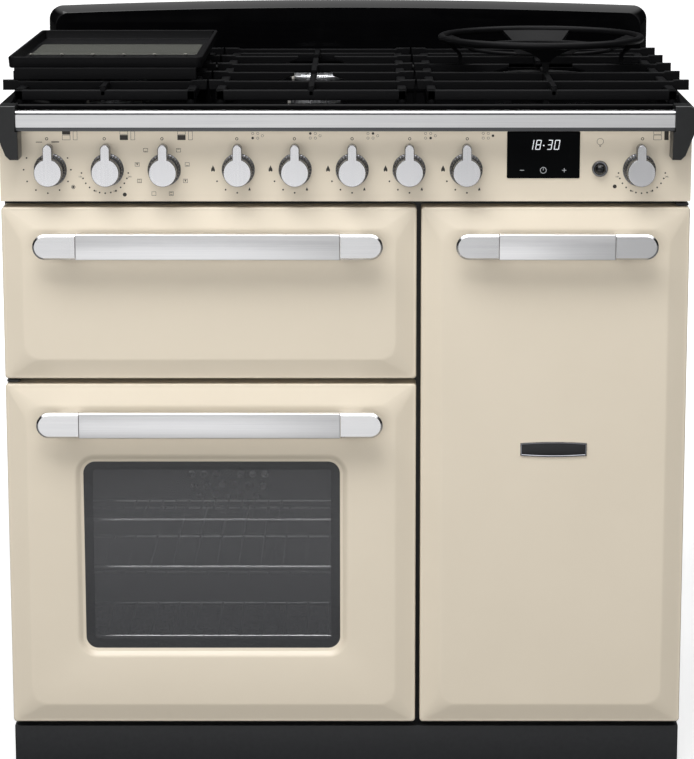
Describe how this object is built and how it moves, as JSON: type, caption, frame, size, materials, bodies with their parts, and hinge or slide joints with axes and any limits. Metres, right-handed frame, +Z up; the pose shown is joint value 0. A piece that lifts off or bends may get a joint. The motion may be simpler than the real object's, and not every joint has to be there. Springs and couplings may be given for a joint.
{
  "type": "range cooker",
  "caption": "Free-standing range cooker with a gas hob, griddle and wok ring, a drop-front grill, a glazed main oven and a tall oven behind bevelled enamel doors.",
  "frame": {"origin": "on the floor, under the middle of the box round the whole cooker", "axes": "+X to the right seen from the front, +Y to the back, +Z up"},
  "size_m": [0.9, 0.653, 0.995],
  "materials": {
    "cream_enamel": "gloss vitreous enamel",
    "black_enamel": "gloss vitreous enamel",
    "charcoal_paint": "satin paint",
    "oven_enamel": "speckled grey enamel",
    "galvanised_steel": "dull zinc",
    "brushed_steel": "fine lengthwise brush",
    "chrome": "polished",
    "cast_iron": "satin enamel",
    "aluminium": "die cast",
    "brass": "bare",
    "black_plastic": "moulded",
    "seal_rubber": "woven seal",
    "roller_plastic": "moulded",
    "glass": "tinted oven glass",
    "lamp_glass": "clear",
    "display_glass": "black glass",
    "mineral_wool": "felted"
  },
  "bodies": {
    "cooker_body": {"base_frame": "galvanised_steel", "side_panels": "charcoal_paint", "back_panel": "galvanised_steel", "front_frame": "charcoal_paint", "hob_tray": "black_enamel", "rear_upstand": "black_enamel", "control_fascia": "cream_enamel", "towel_rail": "brushed_steel", "rail_brackets": "black_plastic", "plinth": "charcoal_paint", "grill_cavity": "oven_enamel", "main_oven_cavity": "oven_enamel", "tall_oven_cavity": "oven_enamel", "oven_insulation": "mineral_wool", "burner_bodies": "aluminium", "burner_caps": "black_enamel", "gas_manifold": "brass", "oven_switches": "black_plastic", "clock_display": "display_glass", "control_bezels": "chrome", "heating_elements": "galvanised_steel", "fan_covers": "oven_enamel", "fan_motors": "galvanised_steel", "side_runners": "chrome", "door_seals": "seal_rubber", "oven_lamp": "lamp_glass"},
    "grill_door": {"grill_door_skin": "cream_enamel", "grill_door_liner": "oven_enamel", "grill_door_handle": "brushed_steel"},
    "grill_carriage": {"grill_carriage": "black_enamel", "grill_trivet": "chrome"},
    "oven_door": {"oven_door_skin": "cream_enamel", "oven_door_liner": "oven_enamel", "oven_door_glass": "glass", "oven_door_handle": "brushed_steel", "oven_door_rack": "chrome"},
    "tall_door": {"tall_door_skin": "cream_enamel", "tall_door_liner": "oven_enamel", "tall_door_handle": "brushed_steel"},
    "main_oven_shelves": {"main_oven_shelves": "chrome"},
    "tall_oven_shelves": {"tall_oven_shelves": "chrome"},
    "main_oven_fan": {"main_oven_fan": "aluminium"},
    "tall_oven_fan": {"tall_oven_fan": "aluminium"},
    "rear_rollers": {"rear_rollers": "roller_plastic"},
    "front_feet": {"front_feet": "galvanised_steel"},
    "pan_support_left": {"pan_support_left": "cast_iron"},
    "pan_support_centre": {"pan_support_centre": "cast_iron"},
    "pan_support_right": {"pan_support_right": "cast_iron"},
    "griddle": {"griddle": "cast_iron"},
    "wok_ring": {"wok_ring": "cast_iron"},
    "light_button": {"light_button": "chrome"},
    "grill_knob": {"grill_knob": "brushed_steel"},
    "main_oven_temperature_knob": {"main_oven_temperature_knob": "brushed_steel"},
    "main_oven_function_knob": {"main_oven_function_knob": "brushed_steel"},
    "tall_oven_knob": {"tall_oven_knob": "brushed_steel"},
    "gas_knob_1": {"gas_knob_1": "brushed_steel"},
    "gas_knob_2": {"gas_knob_2": "brushed_steel"},
    "gas_knob_3": {"gas_knob_3": "brushed_steel"},
    "gas_knob_4": {"gas_knob_4": "brushed_steel"},
    "gas_knob_5": {"gas_knob_5": "brushed_steel"}
  },
  "joints": [
    {"name": "grill_door_drop", "type": "hinge", "parent": "cooker_body", "child": "grill_door", "pos_m": [-0.177, -0.2735, 0.5515], "axis": [1, 0, 0], "range_deg": [0, 90]},
    {"name": "grill_carriage_slide", "type": "slide", "parent": "cooker_body", "child": "grill_carriage", "axis": [0, -1, 0], "range_m": [0, 0.2366]},
    {"name": "oven_door_swing", "type": "hinge", "parent": "cooker_body", "child": "oven_door", "pos_m": [-0.437, -0.2615, 0.307], "axis": [0, 0, -1], "range_deg": [0, 110]},
    {"name": "tall_door_swing", "type": "hinge", "parent": "cooker_body", "child": "tall_door", "pos_m": [0.437, -0.2615, 0.424], "axis": [0, 0, 1], "range_deg": [0, 110]},
    {"name": "main_oven_shelves_slide", "type": "slide", "parent": "cooker_body", "child": "main_oven_shelves", "axis": [0, -1, 0], "range_m": [0, 0.1642]},
    {"name": "tall_oven_shelves_slide", "type": "slide", "parent": "cooker_body", "child": "tall_oven_shelves", "axis": [0, -1, 0], "range_m": [0, 0.1642]},
    {"name": "main_oven_fan_spin", "type": "hinge", "parent": "cooker_body", "child": "main_oven_fan", "pos_m": [-0.177, 0.1985, 0.308], "axis": [0, 1, 0], "continuous": true},
    {"name": "tall_oven_fan_spin", "type": "hinge", "parent": "cooker_body", "child": "tall_oven_fan", "pos_m": [0.272, 0.1985, 0.42675], "axis": [0, 1, 0], "continuous": true},
    {"name": "rear_rollers_spin", "type": "hinge", "parent": "cooker_body", "child": "rear_rollers", "pos_m": [0, 0.2585, 0.018], "axis": [1, 0, 0], "continuous": true},
    {"name": "front_feet_screw", "type": "slide", "parent": "cooker_body", "child": "front_feet", "axis": [0, 0, -1], "range_m": [0, 0.025]},
    {"name": "light_button_press", "type": "slide", "parent": "cooker_body", "child": "light_button", "axis": [0, 1, 0], "range_m": [0, 0.003], "stiffness_N_per_m": 400},
    {"name": "pan_support_left_lift", "type": "slide", "parent": "cooker_body", "child": "pan_support_left", "axis": [0, 0, 1], "range_m": [0, 0.06]},
    {"name": "pan_support_centre_lift", "type": "slide", "parent": "cooker_body", "child": "pan_support_centre", "axis": [0, 0, 1], "range_m": [0, 0.06]},
    {"name": "pan_support_right_lift", "type": "slide", "parent": "cooker_body", "child": "pan_support_right", "axis": [0, 0, 1], "range_m": [0, 0.06]},
    {"name": "griddle_lift", "type": "slide", "parent": "pan_support_left", "child": "griddle", "axis": [0, 0, 1], "range_m": [0, 0.08]},
    {"name": "wok_ring_lift", "type": "slide", "parent": "pan_support_right", "child": "wok_ring", "axis": [0, 0, 1], "range_m": [0, 0.08]},
    {"name": "grill_knob_turn", "type": "hinge", "parent": "cooker_body", "child": "grill_knob", "pos_m": [-0.381, -0.2815, 0.8205], "axis": [0, 1, 0], "range_deg": [0, 270]},
    {"name": "main_oven_temperature_knob_turn", "type": "hinge", "parent": "cooker_body", "child": "main_oven_temperature_knob", "pos_m": [-0.3075, -0.2815, 0.8205], "axis": [0, 1, 0], "range_deg": [0, 265]},
    {"name": "main_oven_function_knob_turn", "type": "hinge", "parent": "cooker_body", "child": "main_oven_function_knob", "pos_m": [-0.234, -0.2815, 0.8205], "axis": [0, 1, 0], "range_deg": [0, 315]},
    {"name": "tall_oven_knob_turn", "type": "hinge", "parent": "cooker_body", "child": "tall_oven_knob", "pos_m": [0.379, -0.2815, 0.8205], "axis": [0, 1, 0], "range_deg": [0, 265]},
    {"name": "gas_knob_1_turn", "type": "hinge", "parent": "cooker_body", "child": "gas_knob_1", "pos_m": [-0.1385, -0.2815, 0.8205], "axis": [0, -1, 0], "range_deg": [0, 210]},
    {"name": "gas_knob_2_turn", "type": "hinge", "parent": "cooker_body", "child": "gas_knob_2", "pos_m": [-0.065, -0.2815, 0.8205], "axis": [0, -1, 0], "range_deg": [0, 210]},
    {"name": "gas_knob_3_turn", "type": "hinge", "parent": "cooker_body", "child": "gas_knob_3", "pos_m": [0.0085, -0.2815, 0.8205], "axis": [0, -1, 0], "range_deg": [0, 210]},
    {"name": "gas_knob_4_turn", "type": "hinge", "parent": "cooker_body", "child": "gas_knob_4", "pos_m": [0.082, -0.2815, 0.8205], "axis": [0, -1, 0], "range_deg": [0, 210]},
    {"name": "gas_knob_5_turn", "type": "hinge", "parent": "cooker_body", "child": "gas_knob_5", "pos_m": [0.1555, -0.2815, 0.8205], "axis": [0, -1, 0], "range_deg": [0, 210]}
  ],
  "couplings": [
    {"joint": "grill_carriage_slide", "follows": "grill_door_drop", "m_per_rad": 0.15},
    {"joint": "main_oven_shelves_slide", "follows": "oven_door_swing", "m_per_rad": 0.085},
    {"joint": "tall_oven_shelves_slide", "follows": "tall_door_swing", "m_per_rad": 0.085}
  ]
}
